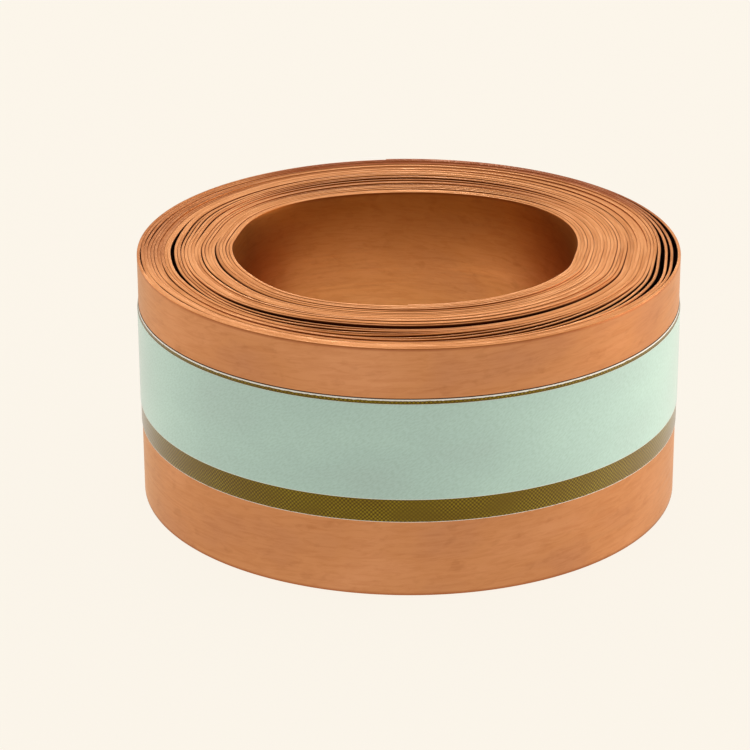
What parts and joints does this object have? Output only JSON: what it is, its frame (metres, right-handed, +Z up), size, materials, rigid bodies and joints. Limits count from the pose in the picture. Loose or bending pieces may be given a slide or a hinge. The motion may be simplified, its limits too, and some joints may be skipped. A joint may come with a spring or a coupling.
{
  "type": "copper foil tape roll",
  "caption": "Roll of flat copper strip wound in a tight open-bored spiral, held by a two-layer paper label band whose end peels back with the strip's free end.",
  "frame": {"origin": "centre of the base, on the surface the roll stands on and on the bore's axis", "axes": "+Z up along the bore's axis; the strip winds outwards anticlockwise about +Z; its free end is on the +Y side"},
  "size_m": [0.0544, 0.0548, 0.0254],
  "materials": {
    "copper": "satin rolled copper",
    "label_backing": "matte printed olive paper with a white cut edge",
    "label_face": "matte pale green paper"
  },
  "bodies": {
    "roll": {"strip_lap_01": "copper", "strip_lap_02": "copper", "strip_lap_03": "copper", "strip_lap_04": "copper", "strip_lap_05": "copper", "strip_lap_06": "copper", "strip_lap_07": "copper", "strip_lap_08": "copper", "strip_lap_09": "copper", "strip_lap_10": "copper", "strip_lap_11": "copper", "strip_lap_12": "copper", "strip_lap_13": "copper", "strip_lap_14": "copper", "strip_lap_15": "copper", "strip_lap_16": "copper", "strip_lap_17": "copper", "strip_lap_18": "copper", "strip_lap_19": "copper", "strip_lap_20": "copper", "strip_lap_21": "copper", "strip_lap_22": "copper", "strip_lap_23": "copper", "strip_lap_24": "copper", "strip_lap_25": "copper", "strip_lap_26": "copper", "strip_lap_27": "copper", "strip_lap_28": "copper", "label_backing": "label_backing", "label_face": "label_face"},
    "tail_1": {"tail_strip_1": "copper", "tail_backing_1": "label_backing", "tail_face_1": "label_face"},
    "tail_2": {"tail_strip_2": "copper", "tail_backing_2": "label_backing", "tail_face_2": "label_face"},
    "tail_3": {"tail_strip_3": "copper", "tail_backing_3": "label_backing", "tail_face_3": "label_face"},
    "tail_4": {"tail_strip_4": "copper", "tail_backing_4": "label_backing", "tail_face_4": "label_face"},
    "tail_5": {"tail_strip_5": "copper", "tail_backing_5": "label_backing", "tail_face_5": "label_face"},
    "tail_6": {"tail_strip_6": "copper", "tail_backing_6": "label_backing", "tail_face_6": "label_face"},
    "tail_7": {"tail_strip_7": "copper", "tail_backing_7": "label_backing", "tail_face_7": "label_face"},
    "tail_8": {"tail_strip_8": "copper", "tail_backing_8": "label_backing", "tail_face_8": "label_face"},
    "tail_9": {"tail_strip_9": "copper", "tail_backing_9": "label_backing", "tail_face_9": "label_face"}
  },
  "joints": [
    {"name": "peel_1", "type": "hinge", "parent": "roll", "child": "tail_1", "pos_m": [0.02723, 0.00238, 0.0127], "axis": [0, 0, -1], "range_deg": [0, 10]},
    {"name": "peel_2", "type": "hinge", "parent": "tail_1", "child": "tail_2", "pos_m": [0.02642, 0.00708, 0.0127], "axis": [0, 0, -1], "range_deg": [0, 10]},
    {"name": "peel_3", "type": "hinge", "parent": "tail_2", "child": "tail_3", "pos_m": [0.02481, 0.01157, 0.0127], "axis": [0, 0, -1], "range_deg": [0, 10]},
    {"name": "peel_4", "type": "hinge", "parent": "tail_3", "child": "tail_4", "pos_m": [0.02244, 0.01571, 0.0127], "axis": [0, 0, -1], "range_deg": [0, 10]},
    {"name": "peel_5", "type": "hinge", "parent": "tail_4", "child": "tail_5", "pos_m": [0.01939, 0.01939, 0.0127], "axis": [0, 0, -1], "range_deg": [0, 10]},
    {"name": "peel_6", "type": "hinge", "parent": "tail_5", "child": "tail_6", "pos_m": [0.01574, 0.02249, 0.0127], "axis": [0, 0, -1], "range_deg": [0, 10]},
    {"name": "peel_7", "type": "hinge", "parent": "tail_6", "child": "tail_7", "pos_m": [0.01161, 0.0249, 0.0127], "axis": [0, 0, -1], "range_deg": [0, 10]},
    {"name": "peel_8", "type": "hinge", "parent": "tail_7", "child": "tail_8", "pos_m": [0.00712, 0.02656, 0.0127], "axis": [0, 0, -1], "range_deg": [0, 10]},
    {"name": "peel_9", "type": "hinge", "parent": "tail_8", "child": "tail_9", "pos_m": [0.0024, 0.0274, 0.0127], "axis": [0, 0, -1], "range_deg": [0, 10]}
  ],
  "couplings": [
    {"joint": "peel_2", "follows": "peel_1", "ratio": 1},
    {"joint": "peel_3", "follows": "peel_1", "ratio": 1},
    {"joint": "peel_4", "follows": "peel_1", "ratio": 1},
    {"joint": "peel_5", "follows": "peel_1", "ratio": 1},
    {"joint": "peel_6", "follows": "peel_1", "ratio": 1},
    {"joint": "peel_7", "follows": "peel_1", "ratio": 1},
    {"joint": "peel_8", "follows": "peel_1", "ratio": 1},
    {"joint": "peel_9", "follows": "peel_1", "ratio": 1}
  ]
}
